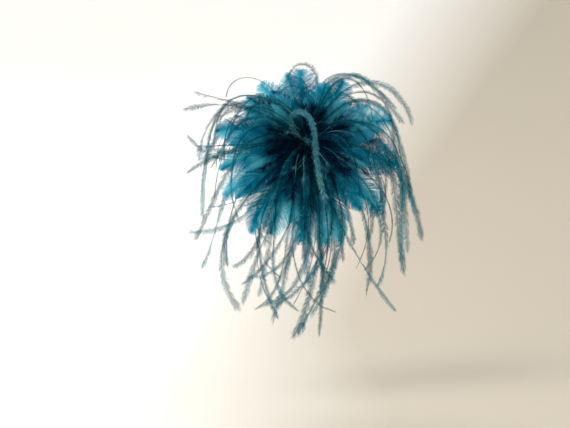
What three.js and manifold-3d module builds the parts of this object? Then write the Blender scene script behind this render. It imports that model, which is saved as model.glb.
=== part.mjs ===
// Feather corsage brooch: a burst of dyed goose petals, marabou and long ostrich fronds bound
// round a short stem of quills, on a stiffened felt base with a locking bar pin behind.
// Millimetres. +Z is up as worn and the wearer's garment is on the +Y side. The origin is the
// middle of the rear felt's outer face, which lies against the garment.
import * as THREE from "three";
import Module from "manifold-3d";
import { mergeVertices } from "three/addons/utils/BufferGeometryUtils.js";

const wasm = await Module();
wasm.setup();

// Felt base
const FELT_RADIUS = 32;
const FELT_THICKNESS = 1.4;
const STIFFENER_RADIUS = 29;
const STIFFENER_THICKNESS = 1.2;
const LAYER_GAP = 0.3;
const DISC_SEGMENTS = 48;

// Bar pin
const PIN_HEIGHT = 12; // the bar sits above the middle, so that the flower doesn't tip forward
const BAR_LENGTH = 32;
const BAR_WIDTH = 5;
const BAR_THICKNESS = 0.8;
const BAR_HOLE_RADIUS = 0.9;
const PIN_STANDOFF = 4; // from the rear felt's outer face to the pin arm's axis
const HINGE_X = -13;
const CATCH_X = 13;
const EAR_THICKNESS = 0.6;
const EAR_GAP = 2.6; // between the two ears' inner faces
const EAR_RADIUS = 1.6;
const RIVET_RADIUS = 0.5;
const RIVET_HEAD_RADIUS = 1;
const RIVET_HEAD_THICKNESS = 0.5;
const RUNNING_GAP = 0.12;
const PIN_RADIUS = 0.42;
const PIN_POINT_LENGTH = 3;
const PIN_REACH = 3.2; // of the point past the middle of the catch
const EYE_RADIUS = 1.35;
const EYE_THICKNESS = 1.6;
const CATCH_RADIUS = 2.3;
const CATCH_BORE = 1.66;
const CATCH_LENGTH = 2.6;
const CATCH_MOUTH = THREE.MathUtils.degToRad(130);
const CATCH_NECK = 1.2;
const LOCK_RADIUS = 1.5;
const LOCK_SLOT = 1.24;
const LOCK_FLANGE_RADIUS = 2;
const LOCK_FLANGE_THICKNESS = 0.4;
const LOCK_TAB_ANGLE = THREE.MathUtils.degToRad(-45);
const LOCK_TAB_REACH = 3.1;
const LOCK_TAB_THICKNESS = 0.6;
const LOCK_TAB_LENGTH = 1.6;
const METAL_SEGMENTS = 24;

// Stem of bound quills
const STEM_RADIUS = 8;
const STEM_LENGTH = 20;
const BINDING_THICKNESS = 1.4;
const BACK_BINDING_WIDTH = 1.6;
const FRONT_BINDING_WIDTH = 5;
const ROOT_GAP = 0.4;

// Feathers, all in steps along their length
const FROND_STEPS = 14;
const FROND_SIDES = 6;
const PETAL_STEPS = 9;
const PLUME_STEPS = 7;

const felt = (color) => new THREE.MeshStandardMaterial({ color, roughness: 0.95, metalness: 0 });
const FELT = felt(0x0c4453);
const STIFFENER = felt(0xd8d2c4);
const THREAD = felt(0x0b3f4c);
const QUILL = new THREE.MeshStandardMaterial({ color: 0x2f7f90, roughness: 0.6, metalness: 0 });
const PETAL = new THREE.MeshStandardMaterial({ color: 0x0f7c9c, roughness: 0.8, metalness: 0 });
const PLUME = new THREE.MeshStandardMaterial({ color: 0x0a5872, roughness: 0.9, metalness: 0 });
const FROND = new THREE.MeshStandardMaterial({ color: 0x2c6f80, roughness: 0.9, metalness: 0 });
const NICKEL = new THREE.MeshStandardMaterial({ color: 0xc9c8c4, roughness: 0.3, metalness: 1 });

const corsage = new THREE.Group();

function add(name, geometry, material, parent = corsage) {
  const mesh = new THREE.Mesh(geometry, material);
  mesh.name = name;
  parent.add(mesh);
  return mesh;
}

// ---- booleans, for the metal pieces ----

function solid(geometry) {
  const bare = geometry.clone();
  bare.deleteAttribute("normal");
  bare.deleteAttribute("uv");
  const merged = mergeVertices(bare, 1e-4);
  return new wasm.Manifold(
    new wasm.Mesh({
      numProp: 3,
      vertProperties: merged.attributes.position.array,
      triVerts: new Uint32Array(merged.index.array),
    }),
  );
}

function geometryOf(manifold) {
  const { numProp, vertProperties, triVerts } = manifold.getMesh();
  const geometry = new THREE.BufferGeometry();
  const positions = new THREE.InterleavedBuffer(vertProperties, numProp);
  geometry.setAttribute("position", new THREE.InterleavedBufferAttribute(positions, 3, 0));
  geometry.setIndex(new THREE.BufferAttribute(triVerts, 1));
  return geometry.toNonIndexed();
}

const box = (x, y, z, centre) => new THREE.BoxGeometry(x, y, z).translate(...centre);

function rodAlongX(radius, length, centre, segments = METAL_SEGMENTS) {
  const rod = new THREE.CylinderGeometry(radius, radius, length, segments);
  return rod.rotateZ(Math.PI / 2).translate(...centre);
}

function rodAlongZ(radius, length, centre, segments = METAL_SEGMENTS) {
  const rod = new THREE.CylinderGeometry(radius, radius, length, segments);
  return rod.rotateX(Math.PI / 2).translate(...centre);
}

// ---- felt base: discs in planes facing the garment ----

// A flat outline in the row's X and Z, extruded from its rear face at y towards the viewer.
function disc(radius, thickness, rearY, holes = []) {
  const outline = new THREE.Shape().absarc(0, 0, radius, 0, 2 * Math.PI);
  outline.holes.push(...holes);
  const options = { depth: thickness, bevelEnabled: false, curveSegments: DISC_SEGMENTS / 2 };
  return new THREE.ExtrudeGeometry(outline, options).rotateX(Math.PI / 2).translate(0, rearY, 0);
}

function slit(x, width, height) {
  const hole = new THREE.Path();
  const [left, right] = [x - width / 2, x + width / 2];
  const [low, high] = [PIN_HEIGHT - height / 2, PIN_HEIGHT + height / 2];
  hole.moveTo(left, low).lineTo(left, high).lineTo(right, high).lineTo(right, low).lineTo(left, low);
  return hole;
}

const BAR_REAR = -FELT_THICKNESS - LAYER_GAP;
const STIFFENER_REAR = BAR_REAR - BAR_THICKNESS - LAYER_GAP;
const FRONT_FELT_REAR = STIFFENER_REAR - STIFFENER_THICKNESS - LAYER_GAP;
const STEM_REAR = FRONT_FELT_REAR - FELT_THICKNESS - LAYER_GAP;
const STEM_FRONT = STEM_REAR - STEM_LENGTH;
const EAR_SPAN = EAR_GAP + 2 * EAR_THICKNESS;

const slits = [
  slit(HINGE_X, 2 * EAR_RADIUS + 2 * LAYER_GAP, EAR_SPAN + 2 * LAYER_GAP),
  slit(CATCH_X, CATCH_LENGTH + 2 * LAYER_GAP, CATCH_NECK + 2 * LAYER_GAP),
];
add("rear_felt", disc(FELT_RADIUS, FELT_THICKNESS, 0, slits), FELT);
add("stiffener", disc(STIFFENER_RADIUS, STIFFENER_THICKNESS, STIFFENER_REAR), STIFFENER);
add("front_felt", disc(FELT_RADIUS - 1, FELT_THICKNESS, FRONT_FELT_REAR), FELT);

// ---- bar pin ----

const hingeAt = [HINGE_X, PIN_STANDOFF, PIN_HEIGHT];
const catchAt = [CATCH_X, PIN_STANDOFF, PIN_HEIGHT];

// A sector of the catch's open side, as a wedge with its point on the pin's axis.
function mouthWedge(angle) {
  const reach = 3 * CATCH_RADIUS;
  const wedge = new THREE.Shape();
  wedge.moveTo(0, 0);
  wedge.lineTo(reach * Math.sin(-angle / 2), reach * Math.cos(angle / 2));
  wedge.lineTo(0, reach);
  wedge.lineTo(reach * Math.sin(angle / 2), reach * Math.cos(angle / 2));
  const depth = 2 * CATCH_LENGTH;
  const cut = new THREE.ExtrudeGeometry(wedge, { depth, bevelEnabled: false });
  return cut.translate(0, 0, -depth / 2).rotateY(Math.PI / 2).translate(...catchAt);
}

function barGeometry() {
  const middleY = BAR_REAR - BAR_THICKNESS / 2;
  let bar = solid(box(BAR_LENGTH, BAR_THICKNESS, BAR_WIDTH, [0, middleY, PIN_HEIGHT]));
  for (const x of [-6, 0, 6]) {
    const hole = new THREE.CylinderGeometry(BAR_HOLE_RADIUS, BAR_HOLE_RADIUS, 3, METAL_SEGMENTS);
    bar = bar.subtract(solid(hole.translate(x, middleY, PIN_HEIGHT)));
  }
  const earHeight = PIN_STANDOFF - middleY;
  for (const side of [-1, 1]) {
    const z = PIN_HEIGHT + (side * (EAR_GAP + EAR_THICKNESS)) / 2;
    const web = box(2 * EAR_RADIUS, earHeight, EAR_THICKNESS, [HINGE_X, middleY + earHeight / 2, z]);
    const top = rodAlongZ(EAR_RADIUS, EAR_THICKNESS, [HINGE_X, PIN_STANDOFF, z]);
    bar = bar.add(solid(web)).add(solid(top));
  }
  const rivetBore = rodAlongZ(RIVET_RADIUS + RUNNING_GAP, 2 * EAR_SPAN, hingeAt);
  const neckHeight = PIN_STANDOFF - (CATCH_RADIUS + CATCH_BORE) / 2 - middleY;
  const neckAt = [CATCH_X, middleY + neckHeight / 2, PIN_HEIGHT];
  const ring = solid(rodAlongX(CATCH_RADIUS, CATCH_LENGTH, catchAt))
    .add(solid(box(CATCH_LENGTH, neckHeight, CATCH_NECK, neckAt)))
    .subtract(solid(rodAlongX(CATCH_BORE, 2 * CATCH_LENGTH, catchAt)))
    .subtract(solid(mouthWedge(CATCH_MOUTH)));
  return geometryOf(bar.subtract(solid(rivetBore)).add(ring));
}

function rivetGeometry() {
  const span = EAR_SPAN + 2 * RUNNING_GAP;
  let rivet = solid(rodAlongZ(RIVET_RADIUS, span + RIVET_HEAD_THICKNESS, hingeAt));
  for (const side of [-1, 1]) {
    const z = PIN_HEIGHT + (side * (span + RIVET_HEAD_THICKNESS)) / 2;
    const head = rodAlongZ(RIVET_HEAD_RADIUS, RIVET_HEAD_THICKNESS, [HINGE_X, PIN_STANDOFF, z]);
    rivet = rivet.add(solid(head));
  }
  return geometryOf(rivet);
}

function pinArmGeometry() {
  const eye = solid(rodAlongZ(EYE_RADIUS, EYE_THICKNESS, hingeAt));
  const bore = solid(rodAlongZ(RIVET_RADIUS + RUNNING_GAP, 2 * EYE_THICKNESS, hingeAt));
  const length = CATCH_X + PIN_REACH - HINGE_X;
  const profile = [
    new THREE.Vector2(0, 0),
    new THREE.Vector2(PIN_RADIUS, 0),
    new THREE.Vector2(PIN_RADIUS, length - PIN_POINT_LENGTH),
    new THREE.Vector2(0.45 * PIN_RADIUS, length - 0.25 * PIN_POINT_LENGTH),
    new THREE.Vector2(0, length),
  ];
  const shaft = new THREE.LatheGeometry(profile, METAL_SEGMENTS / 2).rotateZ(-Math.PI / 2);
  return geometryOf(eye.add(solid(shaft.translate(...hingeAt))).subtract(bore));
}

// The lock is a slotted barrel in the catch. At rest its slot faces away from the felt, so the
// pin arm is free to swing out; turned a quarter turn, the slot is covered by the catch.
function catchLockGeometry() {
  const flangeX = (CATCH_LENGTH + LOCK_FLANGE_THICKNESS) / 2 + RUNNING_GAP;
  const barrelLength = 2 * flangeX;
  let lock = solid(rodAlongX(LOCK_RADIUS, barrelLength, catchAt));
  for (const side of [-1, 1]) {
    const at = [CATCH_X + side * flangeX, PIN_STANDOFF, PIN_HEIGHT];
    lock = lock.add(solid(rodAlongX(LOCK_FLANGE_RADIUS, LOCK_FLANGE_THICKNESS, at)));
  }
  const tab = box(LOCK_TAB_LENGTH, LOCK_TAB_REACH, LOCK_TAB_THICKNESS, [0, LOCK_TAB_REACH / 2, 0]);
  lock = lock.add(solid(tab.rotateX(LOCK_TAB_ANGLE).translate(...catchAt)));
  const slotLength = 2 * barrelLength;
  const slot = box(slotLength, 2 * LOCK_FLANGE_RADIUS, LOCK_SLOT, [0, LOCK_FLANGE_RADIUS, 0]);
  return geometryOf(
    lock
      .subtract(solid(slot.translate(...catchAt)))
      .subtract(solid(rodAlongX(LOCK_SLOT / 2, slotLength, catchAt))),
  );
}

add("pin_bar", barGeometry(), NICKEL);
add("hinge_rivet", rivetGeometry(), NICKEL);
add("pin_arm", pinArmGeometry(), NICKEL);
add("catch_lock", catchLockGeometry(), NICKEL);

// ---- stem ----

const lathePoint = ([r, y]) => new THREE.Vector2(r, y);

function ringGeometry(inner, outer, width, rearY) {
  const bulge = outer - (outer - inner) / 4;
  const profile = [
    [inner, rearY - width],
    [bulge, rearY - width],
    [outer, rearY - width / 2],
    [bulge, rearY],
    [inner, rearY],
    [inner, rearY - width],
  ];
  return new THREE.LatheGeometry(profile.map(lathePoint), DISC_SEGMENTS);
}

// Thread is wound hard round the quills, so the stem has a waist under each binding.
const waist = STEM_RADIUS - 0.6;
const stemProfile = [
  [0, STEM_FRONT],
  [STEM_RADIUS - 1, STEM_FRONT],
  [waist, STEM_FRONT + 1],
  [waist, STEM_FRONT + FRONT_BINDING_WIDTH + 2],
  [STEM_RADIUS, STEM_FRONT + FRONT_BINDING_WIDTH + 3],
  [STEM_RADIUS, STEM_REAR],
  [0, STEM_REAR],
];
add("quill_stem", new THREE.LatheGeometry(stemProfile.map(lathePoint), 32), QUILL);
const BACK_BINDING_Y = STEM_REAR - LAYER_GAP;
const FRONT_BINDING_Y = STEM_FRONT + FRONT_BINDING_WIDTH + 1.5;
add(
  "back_binding",
  ringGeometry(STEM_RADIUS + 0.3, STEM_RADIUS + BINDING_THICKNESS, BACK_BINDING_WIDTH, BACK_BINDING_Y),
  THREAD,
);
add(
  "front_binding",
  ringGeometry(waist + 0.3, waist + BINDING_THICKNESS, FRONT_BINDING_WIDTH, FRONT_BINDING_Y),
  THREAD,
);

// ---- feathers ----

const TOWARDS_VIEWER = new THREE.Vector3(0, -1, 0);
const DOWN = new THREE.Vector3(0, 0, -1);

// The midline of a feather that leaves the stem at a radius r and a depth y. The azimuth is
// measured in the front plane from the viewer's right, and the lift from that plane towards the
// viewer. A feather is stiff at its root and limp towards its tip: there it droops, turns in the
// front plane and settles back towards the garment. Its curl bends it clockwise, as the viewer
// sees it, all along. Each is in radians per 100 mm.
function midline({ r, y, lift, settle, steps }, { azimuth, length, droop = 0, turn = 0, curl = 0 }) {
  const a = THREE.MathUtils.degToRad(azimuth);
  const b = THREE.MathUtils.degToRad(lift);
  const out = new THREE.Vector3(Math.cos(a), 0, Math.sin(a));
  const side = new THREE.Vector3(-Math.sin(a), 0, Math.cos(a));
  const heading = out.clone().multiplyScalar(Math.cos(b)).addScaledVector(TOWARDS_VIEWER, Math.sin(b));
  const pull = DOWN.clone().multiplyScalar(droop).addScaledVector(side, turn);
  pull.addScaledVector(TOWARDS_VIEWER, -settle);
  const at = new THREE.Vector3(0, y, 0).addScaledVector(out, r);
  const points = [at.clone()];
  const step = length / steps;
  for (let i = 0; i < steps; i++) {
    const limpness = 0.2 + 1.9 * ((i + 0.5) / steps) ** 1.5;
    const bend = pull.clone().addScaledVector(heading, -pull.dot(heading));
    bend.multiplyScalar(limpness).addScaledVector(heading.clone().cross(TOWARDS_VIEWER), curl);
    heading.addScaledVector(bend, step / 100).normalize();
    at.addScaledVector(heading, step);
    points.push(at.clone());
  }
  return points;
}

// A closed body along a midline, with an oval section. Its width is square to the viewer at the
// root, and isn't twisted from there on. half(t) gives its half width and half thickness at a
// share t of the length.
function sweep(points, sides, half) {
  const curve = new THREE.CatmullRomCurve3(points);
  const positions = [];
  const index = [];
  const steps = points.length - 1;
  const across = new THREE.Vector3().crossVectors(curve.getTangent(0), TOWARDS_VIEWER);
  for (let i = 0; i <= steps; i++) {
    const tangent = curve.getTangent(i / steps);
    across.addScaledVector(tangent, -across.dot(tangent)).normalize();
    const through = new THREE.Vector3().crossVectors(tangent, across);
    const [width, thickness] = half(i / steps);
    for (let k = 0; k < sides; k++) {
      const angle = (2 * Math.PI * k) / sides;
      const p = points[i].clone().addScaledVector(across, width * Math.cos(angle));
      positions.push(...p.addScaledVector(through, thickness * Math.sin(angle)).toArray());
    }
  }
  const root = positions.length / 3;
  positions.push(...points[0].toArray(), ...points[steps].toArray());
  for (let k = 0; k < sides; k++) {
    const next = (k + 1) % sides;
    index.push(root, next, k);
    index.push(root + 1, steps * sides + k, steps * sides + next);
    for (let i = 0; i < steps; i++) {
      const [a, b] = [i * sides + k, i * sides + next];
      index.push(a, b, b + sides, a, b + sides, a + sides);
    }
  }
  const geometry = new THREE.BufferGeometry();
  geometry.setAttribute("position", new THREE.Float32BufferAttribute(positions, 3));
  geometry.setIndex(index);
  geometry.computeVertexNormals();
  return geometry;
}

const QUILL_RADIUS = 0.7; // of a feather's bare quill where it enters the stem
const SIDE_ROOT = STEM_RADIUS + QUILL_RADIUS + ROOT_GAP; // for quills that enter the stem's side
const FRONT_ROOT = STEM_FRONT - QUILL_RADIUS - ROOT_GAP; // and for those that enter its front

// Goose petals. Each row is an azimuth, a length and a droop.
const PETAL_WHORLS = [
  {
    name: "petal_outer", r: SIDE_ROOT, y: -11.5, lift: 9, liftStep: 6, settle: 0.12, width: 20,
    rows: [
      [107, 74, 0],
      [34, 74, 0.3],
      [348, 92, 0.5],
      [292, 114, 0.5],
      [232, 114, 0.5],
      [190, 98, 0.4],
      [166, 98, 0.4],
      [144, 78, 0],
    ],
  },
  {
    name: "petal_inner", r: SIDE_ROOT, y: -16.6, lift: 22, liftStep: 5, settle: 0.3, width: 18,
    rows: [
      [74, 62, 0],
      [16, 80, 0.5],
      [312, 92, 0.4],
      [257, 90, 0.3],
      [212, 98, 0.4],
      [176, 86, 0.4],
    ],
  },
];

// A bare quill for the first tenth, then a vane that is widest two thirds of the way out.
const vane = (t) => Math.sin(Math.PI * Math.min(1, Math.max(0, (t - 0.08) / 0.94)) ** 1.25) ** 0.7;
for (const whorl of PETAL_WHORLS) {
  whorl.rows.forEach(([azimuth, length, droop], i) => {
    const odd = i % 2;
    const seat = { ...whorl, y: whorl.y - 1.8 * odd, lift: whorl.lift + whorl.liftStep * odd };
    const points = midline({ ...seat, steps: PETAL_STEPS }, { azimuth, length, droop });
    const half = (t) => [QUILL_RADIUS + whorl.width * vane(t), QUILL_RADIUS + 0.3 * vane(t)];
    add(`${whorl.name}_${i + 1}`, sweep(points, 8, half), PETAL);
  });
}

// Marabou plumes, which make the soft dark heart of the flower. Azimuth, length and droop.
const PLUMES = { r: 4.4, y: FRONT_ROOT, lift: 44, settle: 0.2, steps: PLUME_STEPS };
const PLUME_ROWS = [
  [80, 42, 0],
  [22, 52, 0.3],
  [-39, 68, 0.3],
  [-90, 78, 0.3],
  [-134, 70, 0.3],
  [178, 52, 0.3],
];
const fluff = (t) => t ** 0.5 * Math.sin(Math.PI * Math.min(1, 0.02 + t)) ** 0.8;
PLUME_ROWS.forEach(([azimuth, length, droop], i) => {
  const points = midline(PLUMES, { azimuth, length, droop });
  const half = (t) => [QUILL_RADIUS + 13 * fluff(t), QUILL_RADIUS + 4.5 * fluff(t)];
  add(`plume_${i + 1}`, sweep(points, 8, half), PLUME);
});

// Ostrich fronds. Each row is an azimuth, a length, a droop, a turn and a lift of its own that
// keeps it clear of the fronds that it crosses. The first inner frond also curls, into an arch.
const FROND_WHORLS = [
  {
    name: "frond_back", r: SIDE_ROOT, y: -9.2, settle: 0,
    rows: [
      [74, 120, 4.3, 1.9, 5],
      [86, 175, 2.6, -2.0, 0],
      [61, 200, 3.0, -1.5, 2.5],
      [22, 235, 4.0, 0.9, 5],
      [4, 160, 0.7, -0.8, 0],
      [-40, 190, 0.1, -1.0, 2],
      [-68, 200, 0.1, -0.5, 3],
      [-98, 200, 0.0, -0.1, 2],
      [-117, 190, 1.2, -0.3, 3],
      [188, 195, 3.2, -1.0, 1],
      [205, 140, 0.0, -1.2, 7],
      [150, 200, 3.1, -0.7, 0],
      [128, 172, 1.7, 1.0, 2.5],
    ],
  },
  {
    name: "frond_outer", r: 6.4, y: FRONT_ROOT, settle: 0.2,
    rows: [
      [64, 170, 1.8, -0.4, 22],
      [45, 235, 3.6, -1.0, 27],
      [0, 185, 1.4, -0.1, 20],
      [-28, 200, 0.4, -0.8, 24],
      [-51, 232, 0.8, -1.2, 18],
      [-78, 224, 0.0, -0.4, 26],
      [-103, 165, 0.9, 0.8, 24],
      [-122, 176, 0.0, -0.5, 26],
      [-144, 228, 0.0, 0.7, 20],
      [185, 140, 0.2, 0.1, 25],
      [145, 142, 0.0, 0.9, 20],
      [122, 205, 2.2, 0.5, 25],
    ],
  },
  {
    name: "frond_inner", r: 2.2, y: FRONT_ROOT, settle: 0.6,
    rows: [
      [164, 172, 15.5, -10.9, 36, 3.25],
      [28, 130, 2.4, 0.0, 56],
      [-40, 150, 1.5, 0.0, 58],
      [-95, 160, 1.2, 0.0, 60],
      [214, 130, 2.2, 0.0, 58],
    ],
  },
];

const frondRadius = (t) => QUILL_RADIUS + 1.5 * Math.min(1, 2.2 * t) * Math.min(1, 8 * (1.05 - t));
for (const whorl of FROND_WHORLS) {
  whorl.rows.forEach(([azimuth, length, droop, turn, lift, curl], i) => {
    const seat = { ...whorl, lift, steps: FROND_STEPS };
    const points = midline(seat, { azimuth, length, droop, turn, curl });
    const half = (t) => [frondRadius(t), frondRadius(t)];
    add(`${whorl.name}_${i + 1}`, sweep(points, FROND_SIDES, half), FROND);
  });
}

export default corsage;
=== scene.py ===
"""The looks of the feather corsage brooch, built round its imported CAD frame.

Metres, +Z up as worn, the viewer at -Y. Feathers follow the same midlines as their CAD solids.
"""
import math
import zlib

import bpy
import numpy as np
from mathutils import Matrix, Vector


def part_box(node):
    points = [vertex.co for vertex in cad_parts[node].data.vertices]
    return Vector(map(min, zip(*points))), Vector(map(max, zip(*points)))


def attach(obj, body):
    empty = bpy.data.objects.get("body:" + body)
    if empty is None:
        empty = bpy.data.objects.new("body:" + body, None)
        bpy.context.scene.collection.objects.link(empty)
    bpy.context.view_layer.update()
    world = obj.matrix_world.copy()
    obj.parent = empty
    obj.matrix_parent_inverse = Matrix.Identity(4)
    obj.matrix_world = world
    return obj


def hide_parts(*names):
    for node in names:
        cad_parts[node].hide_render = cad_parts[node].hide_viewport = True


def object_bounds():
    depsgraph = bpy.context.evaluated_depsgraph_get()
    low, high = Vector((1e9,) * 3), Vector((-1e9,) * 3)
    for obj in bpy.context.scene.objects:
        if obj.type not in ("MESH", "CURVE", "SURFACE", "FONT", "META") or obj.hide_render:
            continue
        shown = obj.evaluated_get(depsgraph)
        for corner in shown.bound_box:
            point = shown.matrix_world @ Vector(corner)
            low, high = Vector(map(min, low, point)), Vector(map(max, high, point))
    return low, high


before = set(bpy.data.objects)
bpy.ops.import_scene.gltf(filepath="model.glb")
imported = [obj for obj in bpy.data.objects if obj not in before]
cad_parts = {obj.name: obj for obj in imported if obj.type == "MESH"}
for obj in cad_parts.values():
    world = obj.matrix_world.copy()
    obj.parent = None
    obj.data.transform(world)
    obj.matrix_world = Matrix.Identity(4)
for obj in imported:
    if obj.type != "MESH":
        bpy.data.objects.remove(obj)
cad_box = [list(corner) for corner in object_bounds()]

MM = 0.001
VIEWER = np.array([0.0, -1.0, 0.0])
DOWNWARD = np.array([0.0, 0.0, -1.0])

# ---------------------------------------------------------------- dimensions, as in the CAD
# Millimetres and degrees. Feathers leave the stem at radius r and depth y, rise towards the viewer
# by their lift, and are pulled back by their whorl's settle.
STEM_RADIUS = 8.0
QUILL_RADIUS = 0.7
ROOT_GAP = 0.4
SIDE_ROOT = STEM_RADIUS + QUILL_RADIUS + ROOT_GAP
stem_low, stem_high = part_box("quill_stem")
STEM_FRONT = stem_low[1] / MM
STEM_REAR = stem_high[1] / MM
FRONT_ROOT = STEM_FRONT - QUILL_RADIUS - ROOT_GAP

# Rows of azimuth, length and droop. Every second petal has a lift_step more lift.
PETAL_WHORLS = [
    dict(
        name="petal_outer", r=SIDE_ROOT, y=-11.5, lift=9, lift_step=6, settle=0.12, width=20,
        rows=[
            (107, 74, 0), (34, 74, 0.3), (348, 92, 0.5), (292, 114, 0.5),
            (232, 114, 0.5), (190, 98, 0.4), (166, 98, 0.4), (144, 78, 0),
        ],
    ),
    dict(
        name="petal_inner", r=SIDE_ROOT, y=-16.6, lift=22, lift_step=5, settle=0.3, width=18,
        rows=[
            (74, 62, 0), (16, 80, 0.5), (312, 92, 0.4), (257, 90, 0.3),
            (212, 98, 0.4), (176, 86, 0.4),
        ],
    ),
]
# Every second petal also stands this much further forward.
PETAL_STAGGER = 1.8
# The petals at the top and to the viewer's right are thinner feathers, which let the light
# through: their barbs are this share of the usual width.
SHEER = {"petal_outer_2": 0.6, "petal_outer_3": 0.5, "petal_inner_2": 0.65, "petal_outer_1": 0.75}
PLUMES = dict(r=4.4, y=FRONT_ROOT, lift=44, settle=0.2)
# Rows of azimuth, length and droop.
PLUME_ROWS = [
    (80, 42, 0), (22, 52, 0.3), (-39, 68, 0.3), (-90, 78, 0.3), (-134, 70, 0.3), (178, 52, 0.3),
]
# Rows of azimuth, length, droop, turn and lift, and a curl where the frond makes an arch.
FROND_WHORLS = [
    dict(
        name="frond_back", r=SIDE_ROOT, y=-9.2, settle=0,
        rows=[
            (74, 120, 4.3, 1.9, 5), (86, 175, 2.6, -2.0, 0), (61, 200, 3.0, -1.5, 2.5),
            (22, 235, 4.0, 0.9, 5), (4, 160, 0.7, -0.8, 0), (-40, 190, 0.1, -1.0, 2),
            (-68, 200, 0.1, -0.5, 3), (-98, 200, 0.0, -0.1, 2), (-117, 190, 1.2, -0.3, 3),
            (188, 195, 3.2, -1.0, 1), (205, 140, 0.0, -1.2, 7), (150, 200, 3.1, -0.7, 0),
            (128, 172, 1.7, 1.0, 2.5),
        ],
    ),
    dict(
        name="frond_outer", r=6.4, y=FRONT_ROOT, settle=0.2,
        rows=[
            (64, 170, 1.8, -0.4, 22), (45, 235, 3.6, -1.0, 27), (0, 185, 1.4, -0.1, 20),
            (-28, 200, 0.4, -0.8, 24), (-51, 232, 0.8, -1.2, 18), (-78, 224, 0.0, -0.4, 26),
            (-103, 165, 0.9, 0.8, 24), (-122, 176, 0.0, -0.5, 26), (-144, 228, 0.0, 0.7, 20),
            (185, 140, 0.2, 0.1, 25), (145, 142, 0.0, 0.9, 20), (122, 205, 2.2, 0.5, 25),
        ],
    ),
    dict(
        name="frond_inner", r=2.2, y=FRONT_ROOT, settle=0.6,
        rows=[
            (164, 172, 15.5, -10.9, 36, 3.25), (28, 130, 2.4, 0.0, 56), (-40, 150, 1.5, 0.0, 58),
            (-95, 160, 1.2, 0.0, 60), (214, 130, 2.2, 0.0, 58),
        ],
    ),
]
PETAL_STEPS, PLUME_STEPS, FROND_STEPS = 9, 7, 14
HAIR_STEPS = 10


# ---------------------------------------------------------------- vectors and curves
def unit(v):
    return v / np.maximum(np.linalg.norm(v, axis=-1, keepdims=True), 1e-12)


def around(a, b, angle):
    """In each row, the direction at an angle from a towards b."""
    return a * np.cos(angle)[:, None] + b * np.sin(angle)[:, None]


def carried(across, tangents):
    """A direction square to each tangent in turn, carried along them without a twist."""
    rows = []
    for t in tangents:
        across = unit(across - t * across.dot(t))
        rows.append(across)
    return np.array(rows)


def midline(seat, steps, azimuth, length, droop=0.0, turn=0.0, curl=0.0, hook=0.0):
    """A feather's midline in metres, by the same rule as its CAD solid. The hook is a further curl
    that grows towards the tip, which only the fine fronds have."""
    a, b = math.radians(azimuth), math.radians(seat["lift"])
    out = np.array([math.cos(a), 0, math.sin(a)])
    side = np.array([-math.sin(a), 0, math.cos(a)])
    heading = out * math.cos(b) + VIEWER * math.sin(b)
    pull = DOWNWARD * droop + side * turn - VIEWER * seat["settle"]
    at = np.array([0, seat["y"], 0]) + out * seat["r"]
    points = [at.copy()]
    step = length / steps
    for i in range(steps):
        share = (i + 0.5) / steps
        bend = (pull - heading * pull.dot(heading)) * (0.2 + 1.9 * share**1.5)
        bend = bend + np.cross(heading, VIEWER) * (curl + hook * share**4)
        heading = unit(heading + bend * step / 100)
        at = at + heading * step
        points.append(at.copy())
    return np.array(points) * MM


def spline(points, count):
    """Catmull-Rom through the points, at count even steps."""
    padded = np.vstack([2 * points[0] - points[1], points, 2 * points[-1] - points[-2]])
    u = np.linspace(0, len(points) - 1, count)
    i = np.minimum(u.astype(int), len(points) - 2)
    f = (u - i)[:, None]
    a, b, c, d = (padded[i + k] for k in range(4))
    return 0.5 * (
        2 * b + (c - a) * f + (2 * a - 5 * b + 4 * c - d) * f**2 + (3 * b - a - 3 * c + d) * f**3
    )


def seeded(name):
    """A random generator of its own for each piece, so that one piece's draws never move another."""
    return np.random.default_rng(zlib.crc32(name.encode()))


class Rail:
    """A fine midline with an untwisted frame along it: tangent, across and through."""

    def __init__(self, points, count=120):
        self.p = spline(points, count)
        self.t = unit(np.gradient(self.p, axis=0))
        self.a = carried(np.cross(self.t[0], VIEWER), self.t)
        self.b = np.cross(self.t, self.a)
        self.s = np.concatenate([[0], np.cumsum(np.linalg.norm(np.diff(self.p, axis=0), axis=1))])
        self.length = self.s[-1]

    def at(self, s):
        """Point, tangent, across and through at lengths s, which may run past the tip."""
        flat = np.asarray(s).ravel()
        rows = [
            np.stack([np.interp(flat, self.s, v[:, k]) for k in range(3)], 1)
            for v in (self.p, self.t, self.a, self.b)
        ]
        over = np.maximum(flat - self.length, 0)[:, None]
        rows[0] = rows[0] + over * self.t[-1]
        shape = np.shape(s) + (3,)
        return [rows[0].reshape(shape)] + [unit(r).reshape(shape) for r in rows[1:]]


def waves(rng, s, scale, octaves=3):
    """Smooth noise of about -1 to 1 along s, seeded by rng."""
    total = np.zeros(np.shape(s))
    for k in range(octaves):
        frequency = 2 * math.pi * 2**k / scale * rng.uniform(0.8, 1.25)
        total = total + np.sin(np.asarray(s) * frequency + rng.uniform(0, 2 * math.pi)) / 1.6**k
    return total / 1.8


# ---------------------------------------------------------------- meshes
def linked(name, data):
    """A new object in the scene for a mesh, a curve, a light or a camera."""
    thing = bpy.data.objects.new(name, data)
    bpy.context.scene.collection.objects.link(thing)
    return thing


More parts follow.
